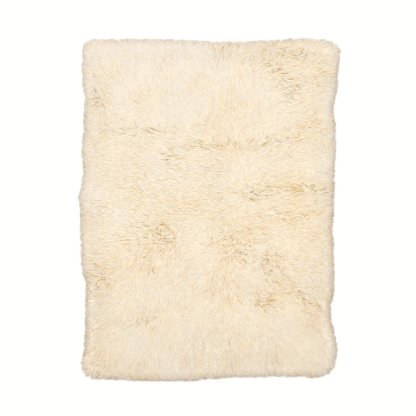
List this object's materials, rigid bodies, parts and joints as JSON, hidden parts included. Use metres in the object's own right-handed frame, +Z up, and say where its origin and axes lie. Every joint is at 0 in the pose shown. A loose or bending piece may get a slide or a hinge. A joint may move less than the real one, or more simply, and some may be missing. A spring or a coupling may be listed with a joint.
{
  "type": "flokati rug",
  "caption": "Flat rectangular shag rug of long cream wool pile over a woven wool ground, with rounded corners and soft uneven edges.",
  "frame": {"origin": "on the floor, under the middle of the rug's outline", "axes": "+X across the rug to the right, +Y along the rug to the head end, +Z up out of the pile"},
  "size_m": [1.5406, 2.0174, 0.047],
  "materials": {
    "wool_pile": "long matt wool shag, cream with yellower roots",
    "wool_ground": "felted plain weave of undyed wool, on the underside"
  },
  "bodies": {
    "root": {"rug": "wool_pile"}
  },
  "joints": []
}
